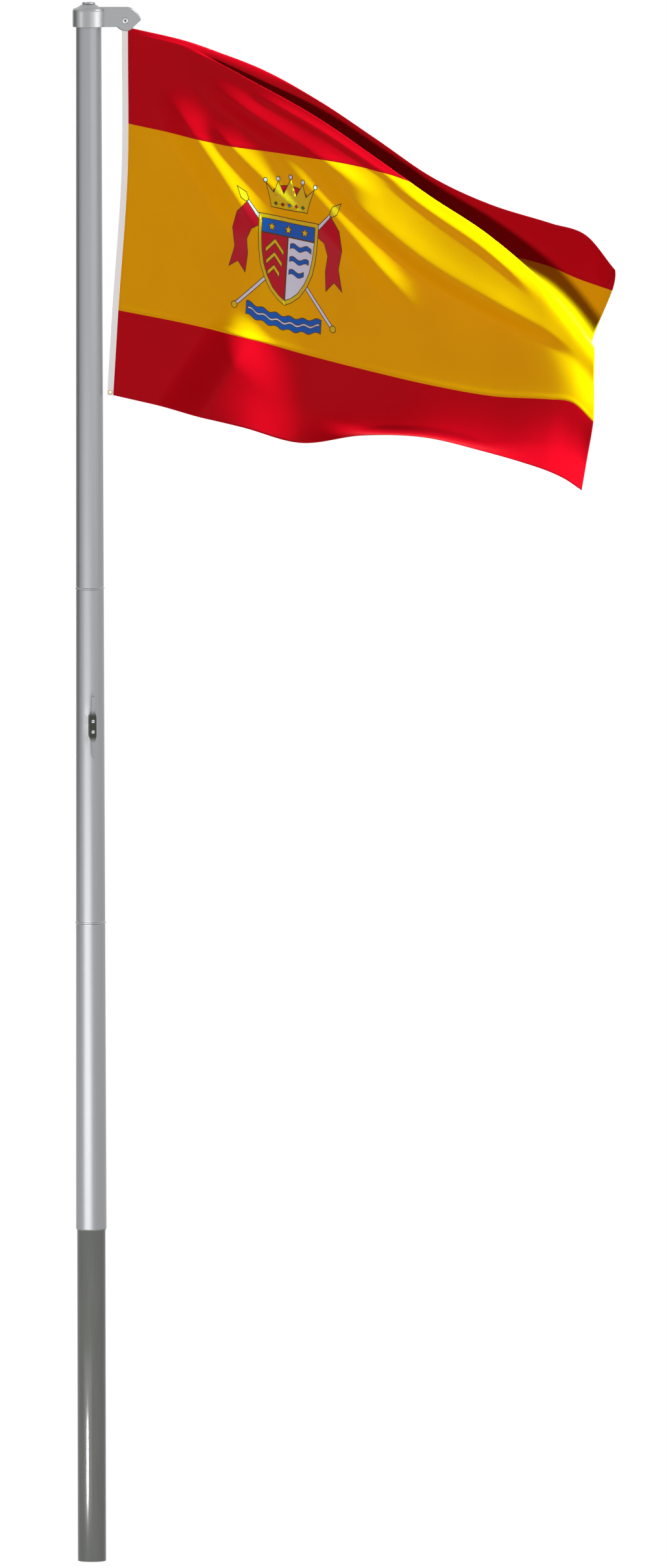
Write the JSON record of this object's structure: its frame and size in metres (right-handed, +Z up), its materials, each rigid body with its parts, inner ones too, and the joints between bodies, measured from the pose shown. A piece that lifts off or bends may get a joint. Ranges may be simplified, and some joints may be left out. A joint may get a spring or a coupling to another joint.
{
  "type": "flagpole",
  "caption": "Tapered sectional flagpole in a ground sleeve, with a horn cleat and a swivelling forked head whose arm carries a striped flag on a header strip.",
  "frame": {"origin": "centre of the flat foot of the ground sleeve, at ground level", "axes": "+Z up along the pole, +X along the head's arm towards the flag, -Y towards the cleat"},
  "size_m": [1.3293, 0.3467, 3.8415],
  "materials": {
    "sleeve": "dark grey, half gloss",
    "bush": "pale moulded plastic",
    "tube": "satin anodised",
    "ring": "turned, satin",
    "cleat": "dark grey casting",
    "screw": "bright zinc",
    "head": "silver lacquered casting",
    "header": "white woven tape",
    "grommet": "brass, dull",
    "red_cloth": "red polyester",
    "yellow_cloth": "yellow polyester"
  },
  "bodies": {
    "pole": {"ground_sleeve": "sleeve", "sleeve_bush": "bush", "lower_section": "tube", "lower_joint_ring": "ring", "middle_section": "tube", "upper_joint_ring": "ring", "upper_section": "tube", "cleat": "cleat", "upper_cleat_screw": "screw", "lower_cleat_screw": "screw", "top_plug": "head", "head_button": "head"},
    "head": {"swivel_head": "head", "arm_screw": "screw", "arm_nut": "screw", "flag_header": "header", "top_grommet": "grommet", "bottom_grommet": "grommet", "flag_top_stripe": "red_cloth", "flag_middle_stripe": "yellow_cloth", "flag_bottom_stripe": "red_cloth"}
  },
  "joints": [
    {"name": "head_swivel", "type": "hinge", "parent": "pole", "child": "head", "pos_m": [0, 0, 3.826], "axis": [0, 0, 1], "continuous": true}
  ]
}
